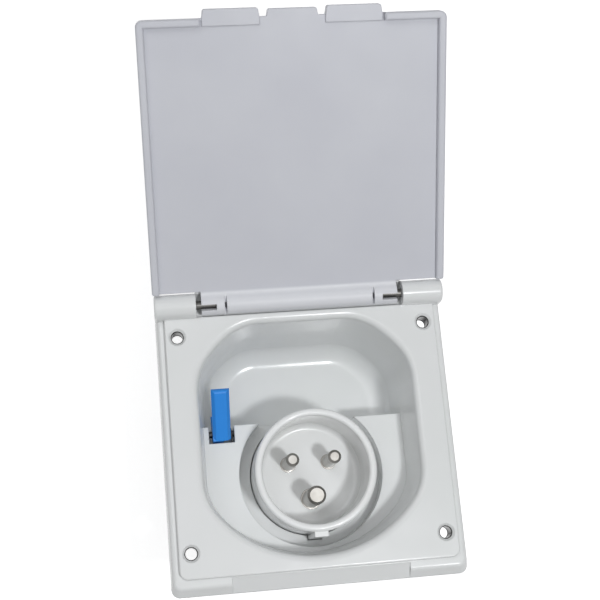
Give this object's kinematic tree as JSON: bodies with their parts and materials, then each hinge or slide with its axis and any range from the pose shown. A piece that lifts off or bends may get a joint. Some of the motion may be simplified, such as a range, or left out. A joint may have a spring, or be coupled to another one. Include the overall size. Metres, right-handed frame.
{
  "type": "mains inlet",
  "caption": "Flush mains inlet: square flange with a hinged lid, deep recess, round shrouded pin contacts, sprung catch lever and a closed rear cover with a cable gland.",
  "frame": {"origin": "middle of the mounting screw holes, on the panel face behind the gasket", "axes": "+X to the right, +Y towards the lid's hinge, +Z out of the panel"},
  "size_m": [0.1084, 0.1965, 0.1304],
  "materials": {
    "housing_plastic": "satin moulded",
    "lid_plastic": "glossy moulded",
    "insert_plastic": "satin moulded",
    "latch_plastic": "satin moulded",
    "contact_metal": "nickel plated",
    "hinge_steel": "drawn wire",
    "screw_steel": "zinc plated",
    "seal_rubber": "matt",
    "cover_plastic": "matt moulded",
    "gland_plastic": "matt moulded"
  },
  "bodies": {
    "housing": {"base_housing": "housing_plastic", "wall_gasket": "seal_rubber", "hinge_pin_left": "hinge_steel", "hinge_pin_right": "hinge_steel", "latch_pin": "hinge_steel", "latch_spring": "hinge_steel", "inlet_insert": "insert_plastic", "insert_seal": "seal_rubber", "live_pin": "contact_metal", "neutral_pin": "contact_metal", "earth_pin": "contact_metal", "pin_retainer": "cover_plastic", "terminal_screws": "screw_steel", "retainer_screws": "screw_steel", "insert_screws": "screw_steel", "cover_gasket": "seal_rubber", "rear_cover": "cover_plastic", "cover_screws": "screw_steel", "gland_body": "gland_plastic", "gland_locknut": "gland_plastic", "gland_seal": "seal_rubber", "gland_cap": "gland_plastic"},
    "lid": {"lid": "lid_plastic"},
    "latch": {"latch_lever": "latch_plastic"}
  },
  "joints": [
    {"name": "lid_hinge", "type": "hinge", "parent": "housing", "child": "lid", "pos_m": [0, 0.0502, 0.0093], "axis": [1, 0, 0], "range_deg": [0, 149.4]},
    {"name": "latch_pivot", "type": "hinge", "parent": "housing", "child": "latch", "pos_m": [0, 0.0056, -0.0205], "axis": [1, 0, 0], "range_deg": [-18, 0], "stiffness_Nm_per_rad": 0.05, "springref_deg": 20.05}
  ]
}
